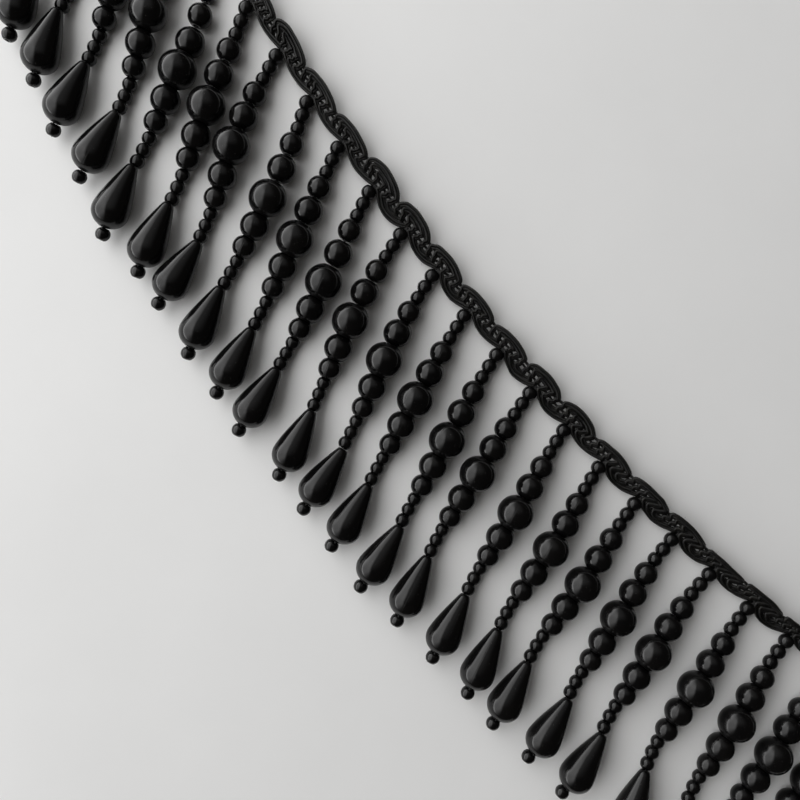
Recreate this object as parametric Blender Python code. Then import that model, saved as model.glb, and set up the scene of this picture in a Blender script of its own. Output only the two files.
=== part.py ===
"""Beaded tassel fringe trim, lying flat on the plane z = 0.

A scalloped gimp braid runs along +X in a shallow bend.  Under each of its lower
notches hangs one tassel: a string of round beads that ends in a teardrop and a
small stop bead.  The tassels lie towards -Y, fanned out a little, and every
bead rests on the plane on a flat facet.
"""
import math
from collections import namedtuple

import bmesh
import bpy
from mathutils import Vector

MM = 0.001                      # every size below is in millimetres

# ---- the row of tassels -----------------------------------------------------
TASSEL_COUNT = 24
PITCH = 11.83                   # from tassel to tassel along the bend
PITCH_DRIFT = 0.75              # how far a tassel strays from an even pitch
DRIFT_TASSELS = 14              # tassels in one swing of that drift
DRIFT_START = 5.5               # tassel at which the swing starts
LEFT_BEND_RADIUS = 620.0        # bend of the row on its left half
RIGHT_BEND_RADIUS = 550.0       # bend of the row on its right half

# ---- the braid --------------------------------------------------------------
BRAID_OFFSET = 3.21             # from the top beads up to the braid's middle
UPPER_NOTCH = 0.99              # middle to a notch of the upper edge
LOWER_NOTCH = -1.91             # middle to a notch of the lower edge
NOTCH_PHASE = 0.45              # upper notches lie this share of a pitch on
UPPER_RISE = 1.6                # mean rise of the upper scallops
UPPER_RISE_SWING = 0.8          # fuller in the middle, pulled flat at the ends
LOWER_RISE = 0.8
LOWER_RISE_SWING = 0.3
FULLEST_TASSEL = 11
FLATTEST_AFTER = 10             # tassels from the fullest to the flattest scallop
SCALLOP_ROUNDNESS = 0.8         # under 1 gives broad, round scallops
BRAID_THICKNESS = 2.1
BRAID_EDGE_HEIGHT = 0.95        # height at which the braid is widest
BRAID_FOOT_INSET = 0.45         # its flat underside is this much narrower
BRAID_TOP_INSET = 0.75          # and so is its top
BEAD_NEST_RADIUS = 2.1          # hollow round each top bead

# shares of a pitch at which the braid's section is set out
SECTION_PHASES = (0.0, 0.09, 0.18, 0.30, 0.45, 0.58, 0.70, 0.82, 0.91)

# ---- one tassel, from the braid down ----------------------------------------
Bead = namedtuple("Bead", "diameter length lift")

TOP_BEAD = Bead(diameter=3.15, length=2.9, lift=0.0)
SEED_BEAD = Bead(diameter=3.0, length=2.75, lift=0.0)
BEADS = (
    TOP_BEAD,
    TOP_BEAD,
    TOP_BEAD,
    Bead(diameter=5.0, length=4.6, lift=0.0),
    Bead(diameter=6.0, length=5.7, lift=0.0),
    Bead(diameter=8.0, length=7.5, lift=0.0),
    Bead(diameter=6.0, length=5.7, lift=0.0),
    Bead(diameter=4.8, length=4.5, lift=0.0),
    SEED_BEAD,
    SEED_BEAD,
    Bead(diameter=3.0, length=2.75, lift=0.35),
)
STOP_BEAD = Bead(diameter=3.0, length=2.75, lift=1.7)

TEARDROP_LENGTH = 14.7
TEARDROP_RADIUS = 3.97
TEARDROP_TIP_RADIUS = 1.15
TEARDROP_BELLY = 11.0           # from the tip to the widest place
TEARDROP_REST = (8.4, 11.6)     # it rests on the stretch between these two
TEARDROP_RINGS = (0.5, 4.2, 8.4, 11.6, 13.9)
TEARDROP_TIP_PULL = (3.5, 2.35)   # how the flank leaves the tip
TEARDROP_BELLY_PULL = 2.2         # how long it runs level before the belly

THREAD_RADIUS = 0.6             # the doubled thread and the rims of the holes
RING_SIDES = 6

# ---- how each tassel lies, from left to right --------------------------------
# lean: degrees from -Y towards +X; slack: extra length on the thread;
# bow and sway: sideways swing of its middle, and of its two halves
Lay = namedtuple("Lay", "lean slack bow sway")
LAYS = (
    Lay(30.6, 3.6, 0.2, 0.0),
    Lay(30.4, 3.0, -0.2, 0.3),
    Lay(29.0, 3.8, 1.2, -0.2),
    Lay(28.5, 4.0, 1.6, -0.3),
    Lay(28.4, 5.6, 1.3, 0.6),
    Lay(28.3, 3.6, 0.6, -0.2),
    Lay(25.7, 1.6, 0.8, -1.0),
    Lay(25.4, 2.4, 1.2, 0.3),
    Lay(24.6, 1.7, 0.6, -0.2),
    Lay(22.1, 1.3, 1.0, -0.5),
    Lay(24.1, 0.9, -1.0, -0.7),
    Lay(22.0, 0.3, 0.2, -1.0),
    Lay(21.0, 0.6, -0.2, -0.5),
    Lay(20.5, 1.3, 0.1, -0.5),
    Lay(20.4, 0.2, -1.4, -0.1),
    Lay(20.8, 0.1, -0.8, 0.0),
    Lay(20.5, 0.0, -1.0, 0.3),
    Lay(17.9, 0.4, -1.0, -0.1),
    Lay(17.3, 0.2, -0.6, -0.7),
    Lay(17.1, 0.9, -1.3, -0.7),
    Lay(20.9, 1.0, -2.4, 0.0),
    Lay(20.0, 1.4, -1.1, -0.4),
    Lay(16.2, 2.6, 0.0, -0.4),
    Lay(13.4, 2.0, -0.2, -0.3),
)

BRAID_COLOUR = (0.012, 0.012, 0.013, 1.0)
BEAD_COLOUR = (0.004, 0.004, 0.005, 1.0)


# ---- layout -----------------------------------------------------------------
def station(number):
    """Length along the bend, from its middle, of tassel `number` (any share)."""
    middle = (TASSEL_COUNT - 1) / 2
    swing = math.sin(2 * math.pi * (number - DRIFT_START) / DRIFT_TASSELS)
    return PITCH * (number - middle) + PITCH_DRIFT * swing


def on_bend(along, aside):
    """Point `along` the bend and `aside` from it, towards the braid."""
    radius = LEFT_BEND_RADIUS if along < 0 else RIGHT_BEND_RADIUS
    angle = along / radius
    return Vector((
        (radius - aside) * math.sin(angle),
        radius - (radius - aside) * math.cos(angle),
        0.0,
    ))


def scallop(phase):
    """0 at a notch (whole phases) and 1 at the crest half way on."""
    return abs(math.sin(math.pi * phase)) ** SCALLOP_ROUNDNESS


def braid_edges(number):
    """Lower and upper edge of the braid, measured from its middle."""
    fullness = math.cos(math.pi * (number - FULLEST_TASSEL) / FLATTEST_AFTER)
    upper_rise = UPPER_RISE + UPPER_RISE_SWING * fullness
    lower_rise = LOWER_RISE + LOWER_RISE_SWING * fullness
    upper = UPPER_NOTCH + upper_rise * scallop(number - NOTCH_PHASE)
    lower = LOWER_NOTCH - lower_rise * scallop(number)
    from_bead = abs(number - round(number)) * PITCH
    is_beside_bead = -0.4 < number < TASSEL_COUNT - 0.6
    if is_beside_bead and from_bead < BEAD_NEST_RADIUS:
        nest = math.sqrt(BEAD_NEST_RADIUS ** 2 - from_bead ** 2) - BRAID_OFFSET
        lower = max(lower, nest)
    return lower, upper


# ---- mesh helpers -----------------------------------------------------------
def make_material(name, colour, roughness):
    material = bpy.data.materials.new(name)
    material.use_nodes = True
    shader = material.node_tree.nodes["Principled BSDF"]
    shader.inputs["Base Color"].default_value = colour
    shader.inputs["Roughness"].default_value = roughness
    shader.inputs["Metallic"].default_value = 0.0
    material.diffuse_color = colour
    return material


def skin_rings(name, rings, material):
    """Closed body through a row of rings, each a list of points in millimetres."""
    shape = bmesh.new()
    loops = [[shape.verts.new(point * MM) for point in ring] for ring in rings]
    count = len(loops[0])
    for here, there in zip(loops, loops[1:]):
        for side in range(count):
            after = (side + 1) % count
            shape.faces.new((here[side], there[side], there[after], here[after]))
    shape.faces.new(loops[0])
    shape.faces.new(list(reversed(loops[-1])))
    bmesh.ops.recalc_face_normals(shape, faces=shape.faces)
    mesh = bpy.data.meshes.new(name)
    shape.to_mesh(mesh)
    shape.free()
    mesh.materials.append(material)
    body = bpy.data.objects.new(name, mesh)
    bpy.context.scene.collection.objects.link(body)
    return body


# ---- the braid --------------------------------------------------------------
def braid_section(number):
    """Six-sided section of the braid, flat below, at tassel `number`."""
    lower, upper = braid_edges(number)
    outline = (
        (lower, BRAID_EDGE_HEIGHT),
        (lower + BRAID_FOOT_INSET, 0.0),
        (upper - BRAID_FOOT_INSET, 0.0),
        (upper, BRAID_EDGE_HEIGHT),
        (upper - BRAID_TOP_INSET, BRAID_THICKNESS),
        (lower + BRAID_TOP_INSET, BRAID_THICKNESS),
    )
    along = station(number)
    return [
        on_bend(along, BRAID_OFFSET + aside) + Vector((0, 0, height))
        for aside, height in outline
    ]


def build_braid(material):
    """The heading: one length, cut half a pitch beyond its end tassels."""
    first = -0.5
    last = TASSEL_COUNT - 0.5
    numbers = [
        whole + phase
        for whole in range(-1, TASSEL_COUNT)
        for phase in SECTION_PHASES
        if first < whole + phase < last
    ]
    sections = [braid_section(number) for number in [first, *numbers, last]]
    return skin_rings("braid", sections, material)


# ---- the tassels ------------------------------------------------------------
def teardrop_radius(from_tip):
    """Radius of the teardrop: a flank swelling to the belly, then a dome."""
    if from_tip > TEARDROP_BELLY:
        share = (from_tip - TEARDROP_BELLY) / (TEARDROP_LENGTH - TEARDROP_BELLY)
        return TEARDROP_RADIUS * math.sqrt(max(0.0, 1 - share ** 2))
    lengths = (0.0, TEARDROP_TIP_PULL[0], TEARDROP_BELLY - TEARDROP_BELLY_PULL, TEARDROP_BELLY)
    radii = (TEARDROP_TIP_RADIUS, TEARDROP_TIP_PULL[1], TEARDROP_RADIUS, TEARDROP_RADIUS)
    low, high = 0.0, 1.0
    for _ in range(30):
        share = (low + high) / 2
        if bezier(lengths, share) < from_tip:
            low = share
        else:
            high = share
    return bezier(radii, share)


def bezier(values, share):
    """Cubic curve through the first and last of four values."""
    rest = 1 - share
    return (
        rest ** 3 * values[0]
        + 3 * rest ** 2 * share * values[1]
        + 3 * rest * share ** 2 * values[2]
        + share ** 3 * values[3]
    )


# a ring's corners stand out, and its flats stand in, by the same share
CORNER = 1 / math.sqrt(math.cos(math.pi / RING_SIDES))
FLAT = math.sqrt(math.cos(math.pi / RING_SIDES))


def bead_profile(bead, centre):
    """(distance, radius, height) of the rings of one bead on the thread."""
    radius = bead.diameter / 2
    height = radius * FLAT + bead.lift
    if bead.diameter < 4:
        return [(centre, radius, height)]
    shoulder = 0.22 * bead.length
    return [(centre - shoulder, radius, height), (centre + shoulder, radius, height)]


def teardrop_profile(tip):
    """Rings of the teardrop, its flank tipped down onto the plane."""
    near, far = TEARDROP_REST
    near_height = teardrop_radius(near) * FLAT
    slope = (teardrop_radius(far) * FLAT - near_height) / (far - near)
    return [
        (tip + place, teardrop_radius(place), near_height + slope * (place - near))
        for place in TEARDROP_RINGS
    ]


def tassel_profile(slack):
    """Rings of a whole tassel and the reach from its top bead to its stop bead."""
    gap = slack / (len(BEADS) + 1)
    rings = []
    centre = 0.0
    for bead in BEADS:
        if rings:
            centre += bead.length / 2
            rings.append((centre - (bead.length + gap) / 2, THREAD_RADIUS, None))
        rings += bead_profile(bead, centre)
        centre += bead.length / 2 + gap
    tip = centre
    rings.append((tip - gap / 2, THREAD_RADIUS, None))
    rings += teardrop_profile(tip)
    foot = tip + TEARDROP_LENGTH
    rings.append((foot + gap / 2, THREAD_RADIUS, None))
    reach = foot + gap + STOP_BEAD.length / 2
    rings += bead_profile(STOP_BEAD, reach)
    top_end = -BEADS[0].length / 2
    low_end = reach + STOP_BEAD.length / 2
    rings.insert(0, (top_end, THREAD_RADIUS, rings[0][2]))
    rings.append((low_end, THREAD_RADIUS, rings[-1][2]))
    return fill_heights(rings), reach


def fill_heights(rings):
    """Give each thread ring the mean height of the rings on its two sides."""
    filled = []
    for place, (distance, radius, height) in enumerate(rings):
        if height is None:
            height = (rings[place - 1][2] + rings[place + 1][2]) / 2
        filled.append((distance, radius, height))
    return filled


def build_tassel(number, lay, material):
    """One string of beads, its top bead in the braid's notch `number`."""
    rings, reach = tassel_profile(lay.slack)
    start = on_bend(station(number), 0.0)
    lean = math.radians(lay.lean)
    along = Vector((math.sin(lean), -math.cos(lean), 0.0))
    across = Vector((-along.y, along.x, 0.0))
    bodies = []
    for distance, radius, height in rings:
        turn = math.pi * distance / reach
        swing = lay.bow * math.sin(turn) + lay.sway * math.sin(2 * turn)
        drift = (lay.bow * math.cos(turn) + 2 * lay.sway * math.cos(2 * turn)) * math.pi / reach
        side = (across - drift * along).normalized()
        centre = start + along * distance + across * swing + Vector((0, 0, height))
        bodies.append(ring_points(centre, side, radius * CORNER))
    return skin_rings(f"tassel_{number + 1:02d}", bodies, material)


def ring_points(centre, side, radius):
    """Corners of an upright ring with a flat side below."""
    step = 2 * math.pi / RING_SIDES
    points = []
    for corner in range(RING_SIDES):
        angle = -math.pi / 2 + step * (corner + 0.5)
        out = side * math.cos(angle) + Vector((0, 0, 1)) * math.sin(angle)
        points.append(centre + out * radius)
    return points


# ---- the whole trim ---------------------------------------------------------
def centre_on_origin(bodies):
    """Move the trim so that its box is centred on X and Y, with its foot at 0."""
    corners = [vertex.co for body in bodies for vertex in body.data.vertices]
    middle_x = (min(c.x for c in corners) + max(c.x for c in corners)) / 2
    middle_y = (min(c.y for c in corners) + max(c.y for c in corners)) / 2
    for body in bodies:
        body.location = (-middle_x, -middle_y, 0.0)


def main():
    for old in list(bpy.data.objects):
        bpy.data.objects.remove(old, do_unlink=True)
    braid_black = make_material("braid_black", BRAID_COLOUR, 0.62)
    bodies = [build_braid(braid_black)]
    for number, lay in enumerate(LAYS):
        bead_black = make_material(f"bead_black_{number + 1:02d}", BEAD_COLOUR, 0.12)
        bodies.append(build_tassel(number, lay, bead_black))
    centre_on_origin(bodies)


main()
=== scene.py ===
"""Looks for the beaded tassel fringe trim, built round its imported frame.

The braid is laid up cord by cord, every bead is turned with its own hole, and each
strand lies on its thread.  The layout is the part's own.  Lengths here are in
millimetres until a mesh is written.
"""
import math
import random
from collections import namedtuple

import bpy
import numpy as np
from mathutils import Matrix, Vector


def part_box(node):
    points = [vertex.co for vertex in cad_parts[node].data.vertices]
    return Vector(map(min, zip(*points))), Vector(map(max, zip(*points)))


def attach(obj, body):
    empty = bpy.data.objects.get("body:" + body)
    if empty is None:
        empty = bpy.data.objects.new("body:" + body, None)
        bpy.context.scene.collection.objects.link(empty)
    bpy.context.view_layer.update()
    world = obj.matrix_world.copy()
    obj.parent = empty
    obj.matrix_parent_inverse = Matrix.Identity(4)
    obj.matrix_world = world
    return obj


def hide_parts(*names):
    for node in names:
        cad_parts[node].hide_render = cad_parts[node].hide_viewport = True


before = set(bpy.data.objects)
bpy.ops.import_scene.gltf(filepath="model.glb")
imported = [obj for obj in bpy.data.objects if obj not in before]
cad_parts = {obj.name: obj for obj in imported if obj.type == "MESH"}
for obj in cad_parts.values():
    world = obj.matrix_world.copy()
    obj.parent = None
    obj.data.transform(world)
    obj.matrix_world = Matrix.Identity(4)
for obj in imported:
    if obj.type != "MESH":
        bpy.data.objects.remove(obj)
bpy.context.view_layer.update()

MM = 0.001
TAU = 2 * math.pi

# ---- the row of tassels, as in the part ----
TASSEL_COUNT = 24
PITCH = 11.83
PITCH_DRIFT = 0.75
DRIFT_TASSELS = 14
DRIFT_START = 5.5
LEFT_BEND_RADIUS = 620.0
RIGHT_BEND_RADIUS = 550.0
BRAID_OFFSET = 3.21  # from the top beads up to the braid's middle

# the part's braid outline, which says where the part's centre was put
CAD_NOTCHES = (0.99, -1.91)
CAD_RISES = ((1.6, 0.8), (0.8, 0.3))
CAD_NOTCH_PHASE = 0.45
CAD_FULLEST, CAD_FLATTEST_AFTER = 11, 10
CAD_ROUNDNESS = 0.8
CAD_PHASES = (0.0, 0.09, 0.18, 0.30, 0.45, 0.58, 0.70, 0.82, 0.91)
CAD_NEST_RADIUS = 2.1  # of the hollow in the braid round each top bead
CAD_NEST_MARGIN = 0.1  # from the braid's ends, where there are no hollows

# ---- how each tassel lies and how full the braid is there ----
# lean: degrees from -Y towards +X; slack: spare length in its thread; bow and sway:
# how far it swings aside, in one curve and in two; gather: share of the slack left in
# a few upper gaps; crest: the braid's upper edge, from its middle; crest_at: where
# along the repeat; belly: the lower edge, half a repeat on; shear: how far the ribs'
# upper feet are drawn along, in repeats
Lay = namedtuple("Lay", "lean slack bow sway gather crest crest_at belly shear", defaults=(0.0,))
LAYS = (
    Lay(30.6, 3.6, 0.2, 0.0, 0.60, 2.3, 0.00, 2.3),
    Lay(30.4, 3.0, -0.2, 0.3, 0.60, 2.5, 0.02, 2.4),
    Lay(29.0, 3.8, 1.2, -0.2, 0.70, 2.4, 0.00, 2.4),
    Lay(28.8, 3.6, 1.5, -0.8, 0.67, 2.6, -0.02, 2.5),
    Lay(28.3, 5.9, 1.7, 0.6, 0.61, 2.8, 0.00, 2.5),
    Lay(28.6, 3.4, 0.8, -0.1, 0.34, 2.7, -0.04, 2.4),
    Lay(25.6, 1.2, 1.0, -1.1, 0.70, 3.3, -0.17, 2.6),
    Lay(25.7, 2.1, 1.4, 0.5, 0.57, 2.9, -0.06, 2.7),
    Lay(24.7, 1.3, 0.9, -0.1, 0.65, 2.95, -0.06, 2.7),
    Lay(22.4, 1.1, 1.1, -0.1, 1.00, 3.8, -0.10, 3.6),
    Lay(24.3, 0.8, -0.9, -0.6, 1.00, 3.6, -0.08, 3.1),
    Lay(21.9, 0.3, 0.5, -0.9, 1.00, 3.2, -0.03, 3.3),
    Lay(21.2, 0.3, -0.1, -0.3, 0.90, 2.9, 0.01, 2.9),
    Lay(20.5, 1.2, 0.3, -0.5, 0.30, 2.85, 0.02, 3.5),
    Lay(20.4, 0.2, -1.3, 0.0, 1.00, 3.35, 0.02, 3.3, 0.02),
    Lay(20.6, 0.1, -0.5, 0.0, 1.00, 3.4, 0.02, 3.0, 0.04),
    Lay(20.4, 0.0, -0.8, 0.3, 0.00, 2.7, 0.03, 3.4, 0.05),
    Lay(17.7, 0.3, -0.7, 0.1, 1.00, 2.6, 0.17, 3.2, 0.06),
    Lay(17.4, 0.2, -0.6, -0.7, 1.00, 2.6, 0.07, 3.2, 0.07),
    Lay(16.6, 1.0, -1.0, -0.8, 0.15, 1.8, 0.16, 3.1, 0.08),
    Lay(20.9, 1.0, -2.4, 0.0, 0.00, 2.2, 0.16, 3.6, 0.08),
    Lay(20.0, 1.4, -1.1, -0.4, 0.00, 1.9, 0.06, 3.0, 0.07),
    Lay(16.2, 2.6, 0.0, -0.4, 0.00, 2.4, 0.03, 2.7, 0.06),
    Lay(13.4, 2.0, -0.2, -0.3, 0.00, 2.3, 0.00, 2.5, 0.05),
)

# ---- beads ----
Bead = namedtuple("Bead", "diameter length lift")
TOP_BEAD = Bead(3.4, 2.93, 0.0)
SEED_BEAD = Bead(3.2, 2.7, 0.0)
BEADS = (
    TOP_BEAD, TOP_BEAD, TOP_BEAD,
    Bead(5.3, 4.72, 0.0),
    Bead(6.35, 5.7, 0.0),
    Bead(8.2, 7.5, 0.0),
    Bead(6.35, 5.65, 0.0),
    Bead(5.1, 4.4, 0.0),
    SEED_BEAD, SEED_BEAD,
    Bead(3.2, 2.6, 0.35),
)
STOP_BEAD = Bead(3.2, 2.7, 1.7)
DROP_LENGTH = 14.7
DROP_RADIUS = 3.97
DROP_TIP_RADIUS = 1.15
DROP_BELLY = 11.0
DROP_REST = (8.4, 11.6)  # from the tip, the stretch that lies on the floor
DROP_TIP_PULL = (3.5, 2.35)  # where the tip's end pulls the cone's curve
DROP_BELLY_PULL = 2.2  # how far the belly pulls it
SLACK_IN_LENGTH = 0.75  # share of a strand's slack that its beads take up
SLACK_IN_GIRTH = 0.45
LOOSE_STRANDS = 5  # these have their slack just under the braid
LOOSE_FIRST, LOOSE_LATER = (0, 1, 2, 3), (3, 4)  # the gaps where slack gathers

# ---- braid ----
CORD_RADIUS = 0.26
PAIR_HALF = 0.285  # half the spacing of the two cords of an end
PAIR_ROLL = 38.0  # degrees a pair is rolled in the ribs, its left cord up
PAIR_WAVES, PAIR_WANDER = 4, 0.012  # in a pair's spacing: how many, how deep
PAIR_RATES = (0.05, 0.3)  # radians of those waves in a millimetre
SWELL_WAVE, SWELL_RATE = 0.03, 0.9  # the same for a cord's thickness
END_OFFSET, SIDE_OFFSET, FILLER_OFFSET = 37.0, 11.0, 5.0  # set the wrapping out of step
RIB_SWELL = 0.10  # cords are fuller in the ribs
RIB_CLOSE = 1.7  # and fuller still where the braid is sheared
ROLL_CLOSE = 180.0  # degrees of roll that shear adds, for a whole repeat of it
RIB_REACH = 7.0  # how far shear sends out the lower scallops' innermost
FULL_SHEAR = 0.05  # from here on the lower scallops' innermost lies on top
SHEAR_BELOW = 0.3  # share of the shear by which the ribs' lower feet go back
CORD_SIDES = 9
FILLER_RADIUS, FILLER_DROP = 0.20, 0.17  # of the fine cord under each pair
FILLER_SIDES = 6
CORD_STEP = 0.26
BRAID_START, BRAID_STOP = -0.5, TASSEL_COUNT - 0.5
PATH_SEED, CORD_SEED, LAY_SEED, STITCH_SEED, FIBRE_SEED, STRAND_SEED = 100, 200, 77, 300, 41, 500


# ---- layout ----
def station(number):
    """Distance along the braid of a place counted in tassels, from the braid's middle."""
    middle = (TASSEL_COUNT - 1) / 2
    swing = math.sin(TAU * (number - DRIFT_START) / DRIFT_TASSELS)
    return PITCH * (number - middle) + PITCH_DRIFT * swing


def on_bend(along, aside, height=0.0):
    """A point of the gently bent trim: along it, aside towards its braid, and up."""
    radius = LEFT_BEND_RADIUS if along < 0 else RIGHT_BEND_RADIUS
    angle = along / radius
    return Vector((
        (radius - aside) * math.sin(angle),
        radius - (radius - aside) * math.cos(angle),
        height,
    ))


def cad_outline():
    """Edge points of the part's braid before the part was centred."""
    numbers = [BRAID_START, BRAID_STOP] + [
        whole + phase
        for whole in range(-1, TASSEL_COUNT)
        for phase in CAD_PHASES
        if BRAID_START < whole + phase < BRAID_STOP
    ]
    points = []
    for number in numbers:
        full = math.cos(math.pi * (number - CAD_FULLEST) / CAD_FLATTEST_AFTER)
        rises = [mean + swing * full for mean, swing in CAD_RISES]
        upper = CAD_NOTCHES[0] + rises[0] * abs(
            math.sin(math.pi * (number - CAD_NOTCH_PHASE))) ** CAD_ROUNDNESS
        lower = CAD_NOTCHES[1] - rises[1] * abs(math.sin(math.pi * number)) ** CAD_ROUNDNESS
        off = abs(number - round(number)) * PITCH
        inside = BRAID_START + CAD_NEST_MARGIN < number < BRAID_STOP - CAD_NEST_MARGIN
        if inside and off < CAD_NEST_RADIUS:
            lower = max(lower, math.sqrt(CAD_NEST_RADIUS ** 2 - off ** 2) - BRAID_OFFSET)
        points += [on_bend(station(number), BRAID_OFFSET + side) for side in (lower, upper)]
    return points


def find_shift():
    """How far the part was moved to centre it, in millimetres."""
    outline = cad_outline()
    low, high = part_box("braid")
    shift = Vector((0, 0, 0))
    for axis in (0, 1):
        places = [point[axis] for point in outline]
        middle = (min(places) + max(places)) / 2
        shift[axis] = (low[axis] + high[axis]) / 2 / MM - middle
    return shift


SHIFT = find_shift()


# ---- meshes ----
class Shape:
    """Gathers vertices, faces and point attributes, then writes one mesh."""

    def __init__(self, *attributes):
        self.points = []
        self.faces = []
        self.values = {name: [] for name in attributes}
        self.count = 0

    def add(self, points, faces, **values):
        """Adds points, faces that count from the first of them, and point values."""
        self.points.append(np.asarray(points, float))
        self.faces += [tuple(corner + self.count for corner in face) for face in faces]
        for name, column in self.values.items():
            column.append(np.asarray(values[name], float))
        self.count += len(points)

    def write(self, name, material):
        """Makes the smooth-shaded piece of that name."""
        mesh = bpy.data.meshes.new(name)
        points = np.concatenate(self.points) * MM
        mesh.from_pydata(points.tolist(), [], self.faces)
        for attribute, column in self.values.items():
            layer = mesh.attributes.new(attribute, "FLOAT", "POINT")
            layer.data.foreach_set("value", np.concatenate(column).astype(np.float32))
        mesh.polygons.foreach_set("use_smooth", [True] * len(mesh.polygons))
        mesh.materials.append(material)
        mesh.update()
        piece = bpy.data.objects.new(name, mesh)
        bpy.context.scene.collection.objects.link(piece)
        return piece


def ring_faces(rings, sides, closed=False):
    """Quads that join rings of points, and the last ring to the first if closed."""
    faces = []
    last = rings if closed else rings - 1
    for ring in range(last):
        here, there = ring * sides, (ring + 1) % rings * sides
        for side in range(sides):
            after = (side + 1) % sides
            faces.append((here + side, here + after, there + after, there + side))
    return faces


CURVE_STEPS = 8  # between two control rows, before resampling


def smooth_path(controls, step):
    """Catmull-Rom curve through control rows, resampled to even steps."""
    rows = np.asarray(controls, float)
    rows = np.vstack([2 * rows[0] - rows[1], rows, 2 * rows[-1] - rows[-2]])
    fine = []
    share = np.linspace(0, 1, CURVE_STEPS + 1)[:-1, None]
    for before, here, there, after in zip(rows, rows[1:], rows[2:], rows[3:]):
        fine.append(0.5 * (
            2 * here + (there - before) * share
            + (2 * before - 5 * here + 4 * there - after) * share ** 2
            + (3 * here - before - 3 * there + after) * share ** 3))
    fine = np.vstack(fine + [rows[-2:-1]])
    reach = np.concatenate([[0], np.cumsum(np.linalg.norm(np.diff(fine[:, :3], axis=0), axis=1))])
    count = max(2, int(round(reach[-1] / step)) + 1)
    even = np.linspace(0, reach[-1], count)
    return np.stack([np.interp(even, reach, column) for column in fine.T], axis=1)


UPRIGHT = 0.15  # level share of a direction, below which it is upright


def directions(path):
    """Unit vectors along a path."""
    along = np.gradient(path, axis=0)
    return along / np.maximum(np.linalg.norm(along, axis=1), 1e-9)[:, None]


def tube(shape, path, radius, sides, offset=0.0):
    """A cord along path, with its distance along and turn around kept.

    Where it runs upright, a ring's sides face as the last ring's do.
    """
    path = np.asarray(path, float)
    along = directions(path)
    flat = np.cross(along, (0, 0, 1.0))
    size = np.linalg.norm(flat, axis=1)
    for place in np.where(size < UPRIGHT)[0]:
        flat[place] = flat[place - 1] if place else (1, 0, 0)
    flat /= np.linalg.norm(flat, axis=1)[:, None]
    up = np.cross(flat, along)
    turns = np.arange(sides) / sides
    angle = TAU * turns
    radius = np.broadcast_to(radius, len(path))[:, None, None]
    rings = (path[:, None, :]
             + flat[:, None, :] * (np.cos(angle)[None, :, None] * radius)
             + up[:, None, :] * (np.sin(angle)[None, :, None] * radius))
    reach = np.concatenate([[0], np.cumsum(np.linalg.norm(np.diff(path, axis=0), axis=1))])
    faces = [tuple(reversed(face)) for face in ring_faces(len(path), sides)]
    points = rings.reshape(-1, 3)
    ends = np.array([path[0], path[-1]])
    total = len(points)
    last = total - sides
    for side in range(sides):
        after = (side + 1) % sides
        faces.append((total, side, after))
        faces.append((total + 1, last + after, last + side))
    shape.add(
        np.vstack([points, ends]), faces,
        along=np.concatenate([np.repeat(reach + offset, sides), [offset, offset + reach[-1]]]),
        turn=np.concatenate([np.tile(turns, len(path)), [0, 0]]),
    )


# ---- materials ----
class Nodes:
    """Short way to build one node tree."""

    def __init__(self, tree):
        self.tree = tree

    def feed(self, node, inputs):
        """Links each named input to a socket, or sets it to a value."""
        for name, value in dict(inputs).items():
            if isinstance(value, bpy.types.NodeSocket):
                self.tree.links.new(value, node.inputs[name])
            else:
                node.inputs[name].default_value = value

    def new(self, kind, inputs=(), **settings):
        node = self.tree.nodes.new(kind)
        for name, value in settings.items():
            setattr(node, name, value)
        self.feed(node, inputs)
        return node

    def math(self, operation, *values, clamp=False):
        node = self.new("ShaderNodeMath", enumerate(values), operation=operation, use_clamp=clamp)
        return node.outputs[0]

    def add(self, *values):
        return self.math("ADD", *values)

    def times(self, *values, clamp=False):
        return self.math("MULTIPLY", *values, clamp=clamp)

    def noise(self, scale, detail=3.0, roughness=0.5):
        """Noise over the object, scale being the number of its grains in a metre."""
        place = self.new("ShaderNodeTexCoord").outputs["Object"]
        return self.new("ShaderNodeTexNoise", {
            "Vector": place, "Scale": scale, "Detail": detail, "Roughness": roughness,
        }).outputs["Fac"]

    def attribute(self, name):
        return self.new("ShaderNodeAttribute", attribute_name=name).outputs["Fac"]

    def ramp(self, factor, *stops):
        """A colour that follows factor through stops of (factor, colour)."""
        node = self.new("ShaderNodeValToRGB", {"Fac": factor})
        ramp = node.color_ramp
        while len(ramp.elements) < len(stops):
            ramp.elements.new(0.5)
        for element, (position, colour) in zip(ramp.elements, stops):
            element.position = position
            element.color = (*colour, 1.0)
        return node.outputs["Color"]

    def mix(self, factor, first, second):
        """One colour where factor is 0, the other where it is 1."""
        first_input, second_input = 6, 7
        return self.new("ShaderNodeMix", {
            "Factor": factor, first_input: first, second_input: (*second, 1.0),
        }, data_type="RGBA").outputs[2]

    def bump(self, height, strength, distance, over=None):
        """A normal bumped by height, on top of the normal over."""
        inputs = {"Height": height, "Strength": strength, "Distance": distance}
        if over:
            inputs["Normal"] = over
        return self.new("ShaderNodeBump", inputs).outputs["Normal"]

    def fade(self, value, none, full):
        """Smoothly from 0 at none to 1 at full."""
        rising = none < full
        return self.new("ShaderNodeMapRange", {
            "Value": value, "From Min": min(none, full), "From Max": max(none, full),
            "To Min": 0.0 if rising else 1.0, "To Max": 1.0 if rising else 0.0,
        }, interpolation_type="SMOOTHSTEP").outputs["Result"]


class Skin(Nodes):
    """The nodes of a new material."""

    def __init__(self, name):
        self.material = bpy.data.materials.new(name)
        self.material.use_nodes = True
        super().__init__(self.material.node_tree)

    def shaded(self, **values):
        """The material, with these values or sockets on its shader."""
        shader = self.tree.nodes["Principled BSDF"]
        self.feed(shader, {name.replace("_", " "): value for name, value in values.items()})
        return self.material


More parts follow.
